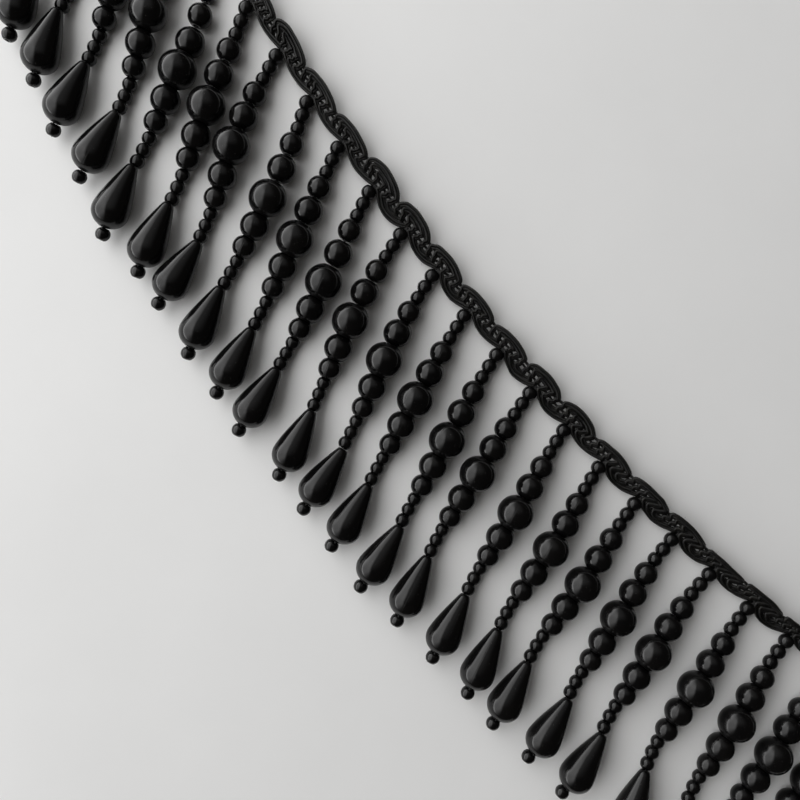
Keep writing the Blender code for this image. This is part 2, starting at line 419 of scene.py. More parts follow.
BLACK_GLOSS = (0.0016, 0.0016, 0.0018), (0.0040, 0.0037, 0.0036)
DUST = (0.11, 0.105, 0.10)
DUST_FROM, DUST_FULL = 0.735, 0.76  # of the noise that scatters the specks
BEAD_ROUGHNESS = 0.09
SEAM_SHARPNESS = 9.0  # how narrow the parting line is
FLANK_BELOW = 0.66  # a bead is duller where it faces less than this upwards


def bead_material():
    """Polished black moulded plastic: faint ripple, parting line, dust, duller flanks."""
    skin = Skin("bead_gloss")
    ripple = skin.noise(420.0, 2.0, 0.45)
    fine = skin.noise(2600.0, 3.0, 0.6)
    seam = skin.math("ABSOLUTE", skin.attribute("seam"))
    ridge = skin.math("SUBTRACT", 1.0, skin.times(seam, SEAM_SHARPNESS))
    ridge = skin.math("POWER", skin.math("MAXIMUM", ridge, 0.0), 2.0)
    normal = skin.bump(ripple, 0.45, 0.00007)
    normal = skin.bump(ridge, 0.45, 0.00003, over=normal)
    speck = skin.noise(5200.0, 2.0, 0.5)
    dust = skin.ramp(speck, (0.0, (0, 0, 0)), (DUST_FROM, (0, 0, 0)), (DUST_FULL, (1, 1, 1)))
    darkest, palest = BLACK_GLOSS
    black = skin.ramp(skin.noise(160.0, 3.0, 0.5), (0.3, darkest), (0.75, palest))
    colour = skin.mix(dust, black, DUST)
    facing = skin.new("ShaderNodeNewGeometry").outputs["Normal"]
    up = skin.new("ShaderNodeSeparateXYZ", {"Vector": facing}).outputs["Z"]
    flank = skin.times(skin.math("SUBTRACT", FLANK_BELOW, up, clamp=True), 3.0, clamp=True)
    rough = skin.add(skin.times(fine, 0.08), BEAD_ROUGHNESS)
    rough = skin.add(rough, skin.times(flank, 0.18))
    rough = skin.add(rough, skin.times(dust, 0.4))
    return skin.shaded(Base_Color=colour, Roughness=rough, IOR=1.37, Normal=normal)


CORD_WRAPS = 5.2  # yarns side by side in a millimetre of cord
CORD_STARTS = 2.0  # of them wrapped at once
# darkest, middle and palest, an olive black; the ramp follows the wrap wave, so it paints shade
# in the grooves between turns and highlight on their crests
RAYON = (0.0010, 0.0009, 0.0009), (0.0034, 0.0031, 0.0027), (0.0170, 0.0158, 0.0112)
CORD_ROUGHNESS = 0.25


def cord_material():
    """Black rayon wrapped round a core: fine turns, satin gloss, random tone, and painted shade
    in the grooves between turns with painted highlight on their crests.
    """
    skin = Skin("braid_cord")
    along = skin.attribute("along")
    turn = skin.attribute("turn")
    wraps = skin.add(skin.times(along, CORD_WRAPS), skin.times(turn, CORD_STARTS))
    wobble = skin.times(skin.noise(900.0, 2.0, 0.5), 0.5)
    wave = skin.math("SINE", skin.times(skin.add(wraps, wobble), TAU))
    fibre = skin.noise(4200.0, 3.0, 0.65)
    height = skin.add(skin.times(wave, 0.5), skin.times(fibre, 0.6))
    normal = skin.bump(height, 0.85, 0.00004)
    # painted shade and highlight: the colour darkens in the grooves between turns and pales on
    # their crests; the noise adds random tone
    tone = skin.add(skin.times(wave, 0.12), skin.noise(700.0, 4.0, 0.7))
    dark, middle, pale_and_crest_lit = RAYON
    colour = skin.ramp(tone, (0.3, dark), (0.55, middle), (0.85, pale_and_crest_lit))
    rough = skin.add(skin.times(fibre, 0.20), CORD_ROUGHNESS)
    return skin.shaded(Base_Color=colour, Roughness=rough, Normal=normal,
                       Sheen_Weight=0.012, Sheen_Roughness=0.4, IOR=1.33)


THREAD_TWISTS = 3.4  # plies crossed in a millimetre of thread
THREAD_PLIES = 2.0
THREAD_BLACK = (0.005, 0.0048, 0.005), (0.014, 0.013, 0.0125)
THREAD_ROUGHNESS = 0.5


def thread_material():
    """Twisted black sewing thread."""
    skin = Skin("sewing_thread")
    twist = skin.add(skin.times(skin.attribute("along"), THREAD_TWISTS),
                     skin.times(skin.attribute("turn"), THREAD_PLIES))
    wave = skin.math("SINE", skin.times(twist, TAU))
    normal = skin.bump(wave, 0.8, 0.00005)
    darkest, palest = THREAD_BLACK
    colour = skin.ramp(skin.noise(1500.0, 3.0, 0.6), (0.3, darkest), (0.8, palest))
    rough = skin.add(skin.times(skin.noise(3000.0), 0.15), THREAD_ROUGHNESS)
    return skin.shaded(Base_Color=colour, Roughness=rough, Normal=normal,
                       Sheen_Weight=0.08, Sheen_Roughness=0.5, IOR=1.4)


FLOOR_TONES = (0.80, 0.80, 0.795), (0.84, 0.84, 0.835)
FLOOR_ROUGHNESS = 0.6


def floor_material():
    """Pale smooth board with a very faint mottle."""
    skin = Skin("floor_board")
    darkest, palest = FLOOR_TONES
    colour = skin.ramp(skin.noise(14.0, 5.0, 0.6), (0.3, darkest), (0.7, palest))
    rough = skin.add(skin.times(skin.noise(60.0), 0.1), FLOOR_ROUGHNESS)
    return skin.shaded(Base_Color=colour, Roughness=rough, Specular_IOR_Level=0.3)


# ---- the braid ----
# Three ends are plaited, each a pair of cords.  Over each repeat an end climbs,
# sweeps over the upper scallop, dives, and sweeps under the lower one.  Half is the
# half span between its feet, shoulder the half width of its arch, base how far aside
# its shoulders are, and level how high it lies at the crest.
Sweep = namedtuple("Sweep", "half shoulder base level")
SWEEPS = (
    Sweep(0.412, 0.442, 0.95, 1.10),
    Sweep(0.250, 0.300, 0.95, 0.78),
    Sweep(0.080, 0.130, 0.92, 1.22),
)
INNER = len(SWEEPS) - 1  # rank of the innermost sweep, 0 being the outermost
INNERMOST = 1.42  # how far aside the innermost sweep crests
CREST_INSET = 0.52  # from the braid's edge to the outermost pair
LEAST_NEST = 0.12  # between the crests of the outermost and the innermost
CORD_PITCH = 0.60  # beside this spacing sweeps lie flat; closer, they pile up
PILE_SHARE = 0.5  # of the lift that would set round cords on each other
PEAKED = 1.25  # of the upper arches: 1 is an ellipse
LOWER_PEAKED = 2.2  # of the lower ones
LOWER_SHARPENED = 0.8  # more than that just before a sheared strand
LOWER_SQUARED = 1.0  # and less just after it
BELLY_BACK = 0.05  # how far a sheared lower arch leans back
WAVE = 0.22  # how far a sweep rises and dips as it crosses the rest
FOOT_ASIDE, FOOT_WAVE = 0.35, 0.2  # where a sweep crosses the braid's middle
RIB_HEIGHT = 1.22
ARCH_STEPS = 8
LEAN_FROM, LEAN_SPAN = 0.8, 0.5  # aside, where an arch takes up its lean
SLANT_UNTIL, SLANT_SPAN = 1.5, 0.55  # aside, where a rib has lost its slant
STRAY_ALONG, STRAY_ASIDE, STRAY_UP = 0.014, 0.05, 0.03  # of each control row
TILT = math.radians(26.0)  # the braid lies rolled up on its lower edge
TILT_EDGE, TILT_LIFT = -3.0, 0.15


def limited(share):
    """A share kept between 0 and 1."""
    return min(1.0, max(0.0, share))


def stray(draw, most):
    """A random step, as far as most either way."""
    return draw.uniform(-most, most)


def crest_aside(edge, rank, innermost):
    """How far aside one rank's sweep crests, for a scallop with that edge."""
    outer = edge - CREST_INSET
    inner = min(innermost, outer - LEAST_NEST)
    return outer + (inner - outer) * rank / INNER


def pile(edge, rank, innermost, turned):
    """How far a sweep is lifted where three don't fit abreast in a scallop.

    The outermost lies on top, or where the pile is turned the innermost.
    """
    pitch = crest_aside(edge, 0, innermost) - crest_aside(edge, 1, innermost)
    place = (INNER - rank) * (1 - turned) + rank * turned
    return place * math.sqrt(max(0.0, CORD_PITCH ** 2 - pitch ** 2)) * PILE_SHARE


def sweep_rows(centre, sign, rank, edge, crest_at, drawn, draw):
    """Control rows of one sweep: number, aside, height and roll of the pair.

    Sign is 1 above the braid's middle and -1 below it, and drawn is how far the
    ribs' feet are drawn along there, which is back in a sheared lower scallop.
    """
    sweep = SWEEPS[rank]
    below = max(0.0, -drawn) / SHEAR_BELOW
    innermost = INNERMOST + RIB_REACH * below
    turned = min(1.0, below / FULL_SHEAR)
    crest = crest_aside(edge, rank, innermost)
    crest_at -= BELLY_BACK * turned
    lift = pile(edge, rank, innermost, turned)
    even = PEAKED if sign > 0 else LOWER_PEAKED
    before = even + LOWER_SHARPENED * turned
    after = even - LOWER_SQUARED * turned
    rows = [(-sweep.half, FOOT_ASIDE, FOOT_WAVE, RIB_HEIGHT, 1.0)]
    for step in range(ARCH_STEPS + 1):
        turn = math.pi * step / ARCH_STEPS
        across = math.cos(turn)
        arch = abs(math.sin(turn)) ** (after if across > 0 else before)
        rows.append((
            -sweep.shoulder * across,
            sweep.base + (crest - sweep.base) * arch,
            across,
            sweep.level + (RIB_HEIGHT - sweep.level) * across ** 2 + lift * math.sin(turn),
            across * abs(across),
        ))
    rows += [(sweep.half, FOOT_ASIDE, -FOOT_WAVE, RIB_HEIGHT, -1.0)]
    out = []
    for place, aside, wave, height, roll in rows:
        lean = crest_at * limited(1 - abs(place) / 0.5) * limited((aside - LEAN_FROM) / LEAN_SPAN)
        slant = drawn * limited((SLANT_UNTIL - aside) / SLANT_SPAN)
        out.append((
            centre + place + lean + slant + stray(draw, STRAY_ALONG),
            sign * (aside + stray(draw, STRAY_ASIDE)),
            height + WAVE * wave + stray(draw, STRAY_UP),
            sign * roll,
        ))
    return out


def end_path(rank):
    """Middle line of one end, rank 0 outermost on the upper scallops."""
    draw = random.Random(PATH_SEED + rank)
    rows = []
    for number in range(-1, TASSEL_COUNT + 1):
        lay = LAYS[min(max(number, 0), TASSEL_COUNT - 1)]
        back = -SHEAR_BELOW * lay.shear
        rows += sweep_rows(number, 1, rank, lay.crest, lay.crest_at, lay.shear, draw)
        rows += sweep_rows(number + 0.5, -1, INNER - rank, lay.belly, 0.0, back, draw)
    rows = np.array(rows)
    rows[:, 0] = [station(number) for number in rows[:, 0]]
    path = smooth_path(rows, CORD_STEP)
    keep = (path[:, 0] > station(BRAID_START)) & (path[:, 0] < station(BRAID_STOP))
    first = np.argmax(keep)
    last = len(keep) - np.argmax(keep[::-1])
    path = path[first:last]
    path[:, 0] = np.clip(path[:, 0], station(BRAID_START), station(BRAID_STOP))
    return path


def laid(path):
    """Rows of (along, aside, height) set out on the bend of the braid, tilted."""
    out = []
    for row in path:
        above = max(0.0, row[1] - TILT_EDGE)
        aside = row[1] - above * (1 - math.cos(TILT))
        height = row[2] + TILT_LIFT + above * math.sin(TILT)
        out.append(on_bend(row[0], BRAID_OFFSET + aside, height) + SHIFT)
    return np.array(out)


def build_braid_end(rank, material):
    """One end of the plait: its two cords, rolled in the ribs, and the filler under them."""
    shape = Shape("along", "turn")
    middle = end_path(rank)
    centre = laid(middle)
    along = directions(centre)
    left = np.cross((0, 0, 1.0), along)
    left /= np.linalg.norm(left, axis=1)[:, None]
    stations = [station(number) for number in range(TASSEL_COUNT)]
    shear = np.interp(middle[:, 0], stations, [lay.shear for lay in LAYS])
    roll = np.radians(PAIR_ROLL + ROLL_CLOSE * shear) * middle[:, 3]
    draw = random.Random(CORD_SEED + rank)
    waves = [(draw.uniform(*PAIR_RATES), draw.uniform(0, TAU)) for _ in range(PAIR_WAVES)]
    reach = np.arange(len(centre)) * CORD_STEP
    wander = sum(np.sin(reach * rate + start) for rate, start in waves) * PAIR_WANDER
    for side in (-1, 1):
        spread = side * (PAIR_HALF + wander)
        path = centre + left * (spread * np.cos(roll))[:, None]
        path[:, 2] += spread * np.sin(roll)
        swell = CORD_RADIUS + (RIB_SWELL + RIB_CLOSE * shear) * np.abs(middle[:, 3])
        swell = swell * (1 + SWELL_WAVE * np.sin(reach * SWELL_RATE + side))
        tube(shape, path, swell, CORD_SIDES, END_OFFSET * rank + SIDE_OFFSET * side)
    over = np.column_stack([-left[:, 0] * np.sin(roll), -left[:, 1] * np.sin(roll), np.cos(roll)])
    tube(shape, centre - over * FILLER_DROP, FILLER_RADIUS, FILLER_SIDES, FILLER_OFFSET * rank)
    name = ("braid_cords_outer", "braid_cords_middle", "braid_cords_inner")[rank]
    return shape.write(name, material)


LayCord = namedtuple("LayCord", "aside radius height wander")
LAY_CORDS = (
    LayCord(1.15, 0.34, 0.42, 0.22),
    LayCord(-1.17, 0.34, 0.42, 0.22),
    LayCord(0.02, 0.28, 0.62, 0.30),
)
LAY_DIP, LAY_RISE = 0.12, 0.06  # under one rib and over the next
LAY_STRAY = 0.03
LAY_STEP, LAY_SIDES = 0.4, 8
RIBS = tuple(-sweep.half for sweep in SWEEPS) + tuple(sweep.half for sweep in reversed(SWEEPS))


def build_lay_cords(material):
    """Straight cords that the plait is worked over: two rows, and a finer middle one."""
    shape = Shape("along", "turn")
    draw = random.Random(LAY_SEED)
    for cord in LAY_CORDS:
        rows = []
        for number in range(-1, TASSEL_COUNT + 1):
            for place, rib in enumerate(RIBS):
                height = cord.height - (LAY_DIP if place % 2 else -LAY_RISE)
                rows.append((
                    station(number + rib),
                    cord.aside + stray(draw, cord.wander),
                    height + stray(draw, LAY_STRAY),
                ))
        path = smooth_path(rows, LAY_STEP)
        inside = (path[:, 0] > station(BRAID_START)) & (path[:, 0] < station(BRAID_STOP))
        tube(shape, laid(path[inside]), cord.radius, LAY_SIDES)
    return shape.write("braid_lay_cords", material)


# one turn of a stitch as (aside, height): over the lower edge, up and back under
STITCH_LOOP = (
    (-1.72, 1.40), (-1.48, 1.80), (-1.10, 1.85), (-0.78, 1.45), (-0.72, 0.75),
    (-0.92, 0.10), (-1.35, 0.02), (-1.78, 0.30), (-1.92, 0.90),
)
STITCH_TURNS = 5
STITCH_START, STITCH_SPREAD = -0.34, 0.9  # along the braid, of all the turns
STITCH_EDGE, STITCH_PULL = -1.6, 0.55  # below that edge the turns are pulled together
STITCH_STRAYS = (0.04, 0.05, 0.05)
STITCH_RADIUS, STITCH_STEP, STITCH_SIDES = 0.11, 0.2, 6


def build_stitches(material):
    """Turns of thread that tie each strand into the lower notch above it."""
    shape = Shape("along", "turn")
    for number in range(TASSEL_COUNT):
        draw = random.Random(STITCH_SEED + number)
        rows = []
        for turn in range(STITCH_TURNS):
            for place, (aside, height) in enumerate(STITCH_LOOP):
                done = (turn + place / len(STITCH_LOOP)) / STITCH_TURNS
                drift = STITCH_START + STITCH_SPREAD * done
                pull = STITCH_PULL if aside < STITCH_EDGE else 1.0
                row = (station(number) + drift * pull, aside, height)
                rows.append([value + stray(draw, most)
                             for value, most in zip(row, STITCH_STRAYS)])
        tube(shape, laid(smooth_path(rows, STITCH_STEP)), STITCH_RADIUS, STITCH_SIDES)
    return shape.write("bead_stitches", material)


FIBRES = 7  # in a repeat
FIBRE_SPREAD, FIBRE_MARGIN = 0.48, 0.02  # round a tassel, and from the braid's ends
UPPER_FIBRES = 0.7  # share of them that stand out of the upper edge
UPPER_EDGE, UPPER_LEVEL = 1.6, 1.8  # halfway up a scallop, and the crest there
LOWER_EDGE, LOWER_LEVEL = -1.7, 1.9
FIBRE_ROOT, FIBRE_START = 0.3, 0.25  # from the edge inwards, and back out
FIBRE_HEIGHTS, FIBRE_LENGTHS = (0.5, 1.0), (0.4, 1.1)
FIBRE_LEAN, FIBRE_CURL, FIBRE_RISES = 1.3, 0.5, (-0.1, 0.35)
FIBRE_RADIUS, FIBRE_STEP, FIBRE_SIDES = 0.016, 0.25, 3


def build_fibres(material):
    """Loose fibres that stand out of the cords here and there."""
    shape = Shape("along", "turn")
    draw = random.Random(FIBRE_SEED)
    for number in range(TASSEL_COUNT):
        lay = LAYS[number]
        for _ in range(FIBRES):
            place = number + stray(draw, FIBRE_SPREAD)
            if not BRAID_START + FIBRE_MARGIN < place < BRAID_STOP - FIBRE_MARGIN:
                continue
            sign = 1 if draw.random() < UPPER_FIBRES else -1
            turn = math.pi * (place - number)
            if sign > 0:
                edge = UPPER_EDGE + (lay.crest - UPPER_LEVEL) * math.cos(turn)
            else:
                edge = LOWER_EDGE - (lay.belly - LOWER_LEVEL) * abs(math.sin(turn))
            root = (station(place), edge - sign * FIBRE_ROOT, draw.uniform(*FIBRE_HEIGHTS))
            lean = stray(draw, FIBRE_LEAN)
            length = draw.uniform(*FIBRE_LENGTHS)
            curl = stray(draw, FIBRE_CURL)
            rows = [root]
            for share in (0.35, 0.7, 1.0):
                bent = lean + curl * share
                rows.append((
                    root[0] + math.sin(bent) * length * share,
                    root[1] + sign * (FIBRE_START + math.cos(bent) * length * share),
                    root[2] + draw.uniform(*FIBRE_RISES) * share,
                ))
            tube(shape, laid(smooth_path(rows, FIBRE_STEP)), FIBRE_RADIUS, FIBRE_SIDES)
    return shape.write("braid_fibres", material)


# ---- beads ----
SMALL_BEAD = 4.0  # beads below this diameter have the finer hole
SMALL_HOLE, LARGE_HOLE, DROP_HOLE = 0.42, 0.6, 0.5  # radii
MOUTH_DEPTH, MOUTH_WIDTH, MOUTH_STEP = 0.12, 0.05, 0.02  # of a hole's eased edge
MOUTH_BLEND = 0.15
SIDES = {3: 24, 5: 34, 6: 40, 8: 52}  # of a turned bead, by its diameter
DROP_SIDES = 56
DROP_STEPS, DOME_STEPS = 24, 14


def bezier(values, share):
    """Cubic curve through the first and last value."""
    rest = 1 - share
    return (rest ** 3 * values[0] + 3 * rest ** 2 * share * values[1]
            + 3 * rest * share ** 2 * values[2] + share ** 3 * values[3])


def drop_radius(from_tip):
    """Radius of the teardrop at a distance from its tip: a curved cone, then a dome."""
    if from_tip > DROP_BELLY:
        share = (from_tip - DROP_BELLY) / (DROP_LENGTH - DROP_BELLY)
        return DROP_RADIUS * math.sqrt(max(0.0, 1 - share ** 2))
    lengths = (0.0, DROP_TIP_PULL[0], DROP_BELLY - DROP_BELLY_PULL, DROP_BELLY)
    radii = (DROP_TIP_RADIUS, DROP_TIP_PULL[1], DROP_RADIUS, DROP_RADIUS)
    low, high = 0.0, 1.0
    for _ in range(30):
        share = (low + high) / 2
        if bezier(lengths, share) < from_tip:
            low = share
        else:
            high = share
    return bezier(radii, share)


def bead_rows(bead):
    """Profile of a round bead, blunt at its ends, as (axial, radius), out and back in."""
    radius = bead.diameter / 2
    half = bead.length / 2
    hole = SMALL_HOLE if bead.diameter < SMALL_BEAD else LARGE_HOLE
    start = math.acos(half / radius)
    count = 8 + int(bead.diameter * 2)
    rows = []
    for step in range(count + 1):
        angle = start + (math.pi - 2 * start) * step / count
        rows.append((-radius * math.cos(angle), radius * math.sin(angle)))
    blunt = radius * math.sin(start)
    mouth = blunt * (1 - MOUTH_BLEND) + hole * MOUTH_BLEND
    rows += [
        (half + MOUTH_STEP, mouth),
        (half - MOUTH_STEP, hole + MOUTH_WIDTH),
        (half - MOUTH_DEPTH, hole),
        (MOUTH_DEPTH - half, hole),
        (MOUTH_STEP - half, hole + MOUTH_WIDTH),
        (-half - MOUTH_STEP, mouth),
    ]
    return rows


def drop_rows():
    """Profile of the teardrop, its tip at 0."""
    hole = DROP_HOLE
    start = 0.22
    rows = [
        (0.03, hole + 0.10),
        (0.0, hole + 0.25),
        (0.03, DROP_TIP_RADIUS - 0.22),
        (0.12, DROP_TIP_RADIUS - 0.06),
    ]
    for step in range(1, DROP_STEPS + 1):
        place = start + (DROP_BELLY - start) * step / DROP_STEPS
        rows.append((place, drop_radius(place)))
    dome = DROP_LENGTH - DROP_BELLY
    last = math.acos((hole + 0.2) / DROP_RADIUS)
    for step in range(1, DOME_STEPS + 1):
        angle = last * step / DOME_STEPS
        rows.append((DROP_BELLY + dome * math.sin(angle), DROP_RADIUS * math.cos(angle)))
    end = rows[-1][0]
    rows += [(end - 0.02, hole + 0.05), (end - 0.2, hole), (0.25, hole)]
    return rows


def turn_bead(shape, rows, sides, origin, axis, roll, girth, length):
    """Turns a profile round axis, where every row is (axial, radius)."""
    axis = axis.normalized()
    side = axis.cross(Vector((0, 0, 1))).normalized()
    up = side.cross(axis)
    angle = TAU * np.arange(sides) / sides
    table = np.array(rows)
    axial = np.repeat(table[:, 0] * length, sides)
    across = np.outer(table[:, 1] * girth, np.cos(angle)).ravel()
    rise = np.outer(table[:, 1] * girth, np.sin(angle)).ravel()
    points = (np.array(origin)[None, :] + axial[:, None] * np.array(axis)
              + across[:, None] * np.array(side) + rise[:, None] * np.array(up))
    seam = across * math.sin(roll) + rise * math.cos(roll)
    shape.add(points, ring_faces(len(rows), sides, closed=True), seam=seam)


NUB_BEADS = (4.0, 7.0)  # between these diameters, some beads have one
NUB_CHANCE = 0.35
NUB_SIZES = (0.45, 0.7)
NUB_ALONG, NUB_OUT = 0.40, 0.30  # from the bead's middle, in its own sizes
NUB_TIPS = (-0.2, 0.6)  # how far it leans up
ONE_ENDED = 5.5  # smaller beads have it at the end nearer the braid
NUB_HALVES = (0.6, 0.5, 0.38)  # of its size: outwards, round the bead, along it
NUB_SIDES, NUB_RINGS = 8, 5
OFF_SEAM = 9.0  # no parting line runs over it


def add_nub(shape, bead, middle, axis, draw):
    """A scrap of moulding flash on one flank of a bead, near its hole."""
    out = axis.cross(Vector((0, 0, 1))).normalized() * draw.choice((-1, 1))
    out = (out + Vector((0, 0, draw.uniform(*NUB_TIPS)))).normalized()
    end = -1 if bead.diameter < ONE_ENDED else draw.choice((-1, 1))
    origin = middle + axis * (end * bead.length * NUB_ALONG) + out * (bead.diameter * NUB_OUT)
    size = draw.uniform(*NUB_SIZES)
    side = axis.cross(out).normalized()
    outwards, around, along = [
        np.array(way) * size * half for way, half in zip((out, side, axis), NUB_HALVES)]
    points = [np.array(origin) - outwards]
    for ring in range(1, NUB_RINGS):
        angle = math.pi * ring / NUB_RINGS
        for step in range(NUB_SIDES):
            turn = TAU * step / NUB_SIDES
            points.append(np.array(origin) - outwards * math.cos(angle)
                          + around * math.sin(angle) * math.cos(turn)
                          + along * math.sin(angle) * math.sin(turn))
    points.append(np.array(origin) + outwards)
    top, last_ring = len(points) - 1, 1 + (NUB_RINGS - 2) * NUB_SIDES
    faces = []
    for step in range(NUB_SIDES):
        after = (step + 1) % NUB_SIDES
        faces.append((0, 1 + step, 1 + after))
        faces.append((top, last_ring + after, last_ring + step))
        for ring in range(NUB_RINGS - 2):
            here = 1 + ring * NUB_SIDES
            there = here + NUB_SIDES
            faces.append((here + step, there + step, there + after, here + after))
    shape.add(points, faces, seam=np.full(len(points), OFF_SEAM))


STRAND_LENGTH = 60.0  # about, over which slack lengthens and fattens the beads
BEAD_TILT, SMALL_TILT = 0.07, 0.14  # how far beads are turned off the thread
STOP_STRAY = 0.25
THREAD_RADIUS, THREAD_STEP, THREAD_SIDES = 0.19, 0.5, 6
THREAD_TAIL = ((1.45, 0.0), (1.62, 0.18), (1.40, 0.36))  # past the stop bead, and up


class Route:
    """The line that a strand lies along, and where its beads sit on it."""

    def __init__(self, number, lay):
        self.lay = lay
        self.start = on_bend(station(number), 0.0) + SHIFT
        lean = math.radians(lay.lean)
        self.along = Vector((math.sin(lean), -math.cos(lean), 0.0))
        self.across = Vector((-self.along.y, self.along.x, 0.0))

        gathered = number < LOOSE_STRANDS
        shared = lay.slack * (1 - lay.gather)
        even = shared / (len(BEADS) + 1)
        loose = LOOSE_FIRST if gathered else LOOSE_LATER
        gaps = [even + (lay.slack * lay.gather / len(loose) if place in loose else 0.0)
                for place in range(len(BEADS) + 1)]
        self.places = []
        centre = 0.0
        for place, bead in enumerate(BEADS):
            if place:
                centre += bead.length / 2
            self.places.append((bead, centre))
            centre += bead.length / 2 + gaps[place]
        self.tip = centre
        self.reach = self.tip + DROP_LENGTH + gaps[-1] + STOP_BEAD.length / 2
        self.places.append((STOP_BEAD, self.reach))

        spread = shared if gathered else lay.slack
        self.longer = 1 + SLACK_IN_LENGTH * spread / STRAND_LENGTH
        self.wider = 1 + SLACK_IN_GIRTH * spread / STRAND_LENGTH

    def spot(self, distance, height):
        """The point that far down the strand and that high."""
        turn = math.pi * distance / self.reach
        swing = self.lay.bow * math.sin(turn) + self.lay.sway * math.sin(2 * turn)
        return self.start + self.along * distance + self.across * swing + Vector((0, 0, height))

    def heading(self, distance):
        """Its direction there."""
        return (self.spot(distance + 0.1, 0) - self.spot(distance - 0.1, 0)).normalized()


def lay_beads(route, draw):
    """The beads of a strand, and the points of the thread that runs through them."""
    beads = Shape("seam")
    thread = []
    for bead, distance in route.places:
        stops = bead is STOP_BEAD
        middle = route.spot(distance, bead.diameter / 2 * route.wider + bead.lift)
        if stops:
            middle += route.across * stray(draw, STOP_STRAY)
        tilt = BEAD_TILT if bead.diameter > SMALL_BEAD else SMALL_TILT
        axis = route.heading(distance) + Vector([stray(draw, tilt) for _ in range(3)])
        axis.normalize()
        sides = SIDES[min(SIDES, key=lambda size: abs(size - bead.diameter))]
        longer = 1.0 if stops else route.longer
        turn_bead(beads, bead_rows(bead), sides, middle, axis,
                  draw.uniform(0, TAU), route.wider, longer)
        if NUB_BEADS[0] < bead.diameter < NUB_BEADS[1] and draw.random() < NUB_CHANCE:
            add_nub(beads, bead, middle, axis, draw)
        if not stops:
            half = axis * bead.length * 0.5
            thread += [middle - half, middle, middle + half]
    return beads, thread


def lay_drop(route, draw):
    """The teardrop, resting on its belly, with its tip and its direction."""
    near, far = DROP_REST
    slope = (drop_radius(far) - drop_radius(near)) / (far - near)
    axis = (route.heading(route.tip + near) + Vector((0, 0, slope))).normalized()
    rest = route.spot(route.tip + near, drop_radius(near) * route.wider)
    tip_at = rest - axis * near * route.longer
    profile = drop_rows()
    upright = math.sqrt(1 - axis.z ** 2)
    tip_at.z -= min(tip_at.z + place * route.longer * axis.z - radius * route.wider * upright
                    for place, radius in profile)
    drop = Shape("seam")
    turn_bead(drop, profile, DROP_SIDES, tip_at, axis,
              draw.uniform(0, TAU), route.wider, route.longer)
    return drop, tip_at, axis


def build_tassel(number, lay, bead_skin, thread_skin):
    """Beads, teardrop and thread of one strand."""
    draw = random.Random(STRAND_SEED + number)
    route = Route(number, lay)
    beads, thread = lay_beads(route, draw)
    drop, tip_at, axis = lay_drop(route, draw)

    end = tip_at + axis * DROP_LENGTH * route.longer
    stop_bead_at = route.spot(route.reach, STOP_BEAD.diameter / 2 + STOP_BEAD.lift)
    outwards = (stop_bead_at - end).normalized()
    thread += [tip_at, tip_at + axis * DROP_LENGTH * 0.5, end, stop_bead_at]
    thread += [stop_bead_at + outwards * past + Vector((0, 0, up)) for past, up in THREAD_TAIL]
    string = Shape("along", "turn")
    points = np.array([tuple(point) for point in thread])
    tube(string, smooth_path(points, THREAD_STEP), THREAD_RADIUS, THREAD_SIDES)

    label = f"tassel_{number + 1:02d}"
    strand = beads.write(f"{label}_beads", bead_skin)
    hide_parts(label)
    pendant = drop.write(f"{label}_drop", bead_skin)
    line = string.write(f"{label}_thread", thread_skin)
    for piece, slot in ((strand, "bead_black"), (pendant, "bead_black"), (line, "braid_yarn")):
        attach(piece, "root")


# ---- floor, light and camera ----
CAMERA_HEIGHT = 182.4
CAMERA_AT = (2.268, -24.083)  # over the layout, before it was centred
CAMERA_TURN = math.radians(51.0)
CAMERA_TILTS = (math.radians(2.13), math.radians(-2.13))
CAMERA_LENS = 36.0  # as long as its sensor is wide
CAMERA_REACH = (0.005, 50.0)  # metres


def camera_axes():
    """World directions of the view's right, down and forward."""
    tilt_x = Matrix.Rotation(CAMERA_TILTS[0], 3, "X")
    tilt_y = Matrix.Rotation(CAMERA_TILTS[1], 3, "Y")
    tilted = tilt_y @ tilt_x
    level_right, level_down, level_in = tilted.col
    cosine, sine = math.cos(CAMERA_TURN), math.sin(CAMERA_TURN)
    world_x = level_right * cosine + level_down * sine
    world_y = level_right * sine - level_down * cosine
    world_z = -level_in
    return [Vector(way) for way in zip(world_x, world_y, world_z)]


def build_camera():
    """Camera almost straight above the trim."""
    right, down, forward = camera_axes()
    camera_data = bpy.data.cameras.new("camera")
    camera_data.sensor_width = CAMERA_LENS
    camera_data.lens = CAMERA_LENS
    camera_data.clip_start, camera_data.clip_end = CAMERA_REACH
    camera = bpy.data.objects.new("camera", camera_data)
    bpy.context.scene.collection.objects.link(camera)
    spot = (Vector((*CAMERA_AT, CAMERA_HEIGHT)) + SHIFT) * MM
    turn = Matrix((right, -down, -forward)).transposed().to_4x4()
    camera.matrix_world = Matrix.Translation(spot) @ turn
    bpy.context.scene.camera = camera


# The softbox glows unevenly.  Places on it count in its own height above the floor, from
# the point over the camera to the view's right and down.  Turns are degrees about that
# point, from the view's left and growing downwards.  A fade is (where dark, where full).
PANEL_HEIGHT = 650.0
PANEL_SPAN = ((-11.0, 1.6), (-11.0, 7.0))
PANEL_STRENGTH = 2.34
LEFT_FADE, LEFT_SKEW = (-0.19, -0.58), 0.25  # the main light's right-hand edge
LOWER_FADE, UPPER_FADE = (64.0, 12.0), (-100.0, -56.0)  # and its other two, as turns
BEAM_TURN, BEAM_WIDTH, BEAM_FADE = -46.0, 27.0, (1.25, 3.6)  # its brightest part
BEAM_NEAR, BEAM_FAR = 0.25, 0.6
FILL, FILL_RIGHT_FADE, FILL_DOWN_FADE = 0.20, (1.3, -0.3), (0.2, -0.6)
RIM, RIM_FADE, RIM_LOWER_FADE = 2.4, (2.6, 5.0), (52.0, 16.0)


